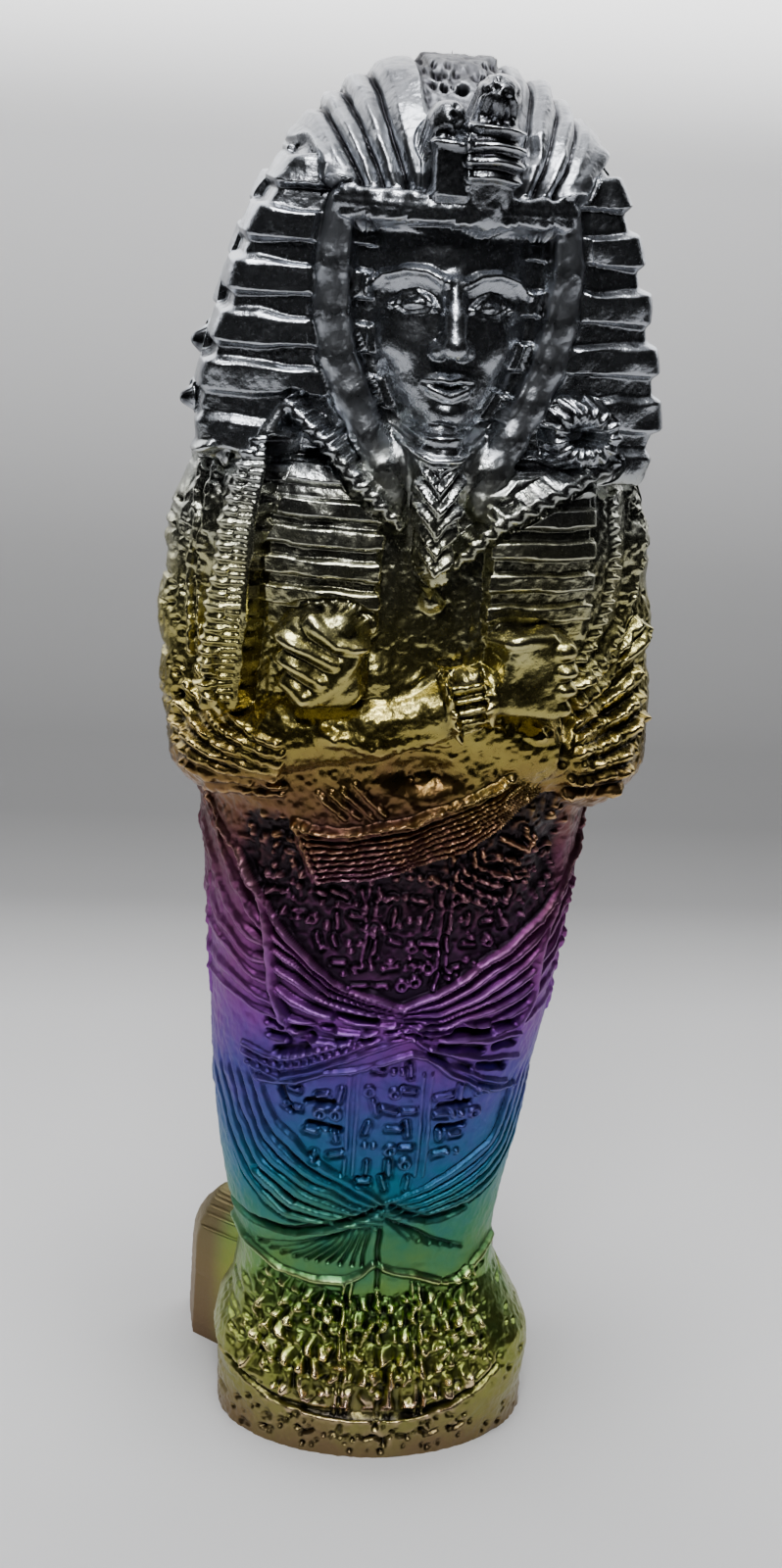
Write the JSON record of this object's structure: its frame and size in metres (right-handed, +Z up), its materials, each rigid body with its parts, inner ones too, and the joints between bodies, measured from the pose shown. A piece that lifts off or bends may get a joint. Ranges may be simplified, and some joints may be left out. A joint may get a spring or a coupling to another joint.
{
  "type": "cast bismuth coffin figure",
  "caption": "Solid cast figure in the shape of a royal mummy coffin with a striped head cloth, crossed arms and feathered wings, standing on its own foot.",
  "frame": {"origin": "middle of the foot on the surface it stands on", "axes": "+Z up along the figure, the face looks along -Y, +X towards the crook"},
  "size_m": [0.0514, 0.0376, 0.14],
  "materials": {
    "oxide_film_bismuth": "glossy cast metal under an oxide film that runs from silver at the head through gold, purple and blue to yellow-green at the foot"
  },
  "bodies": {
    "root": {"cast_figure": "oxide_film_bismuth"}
  },
  "joints": []
}
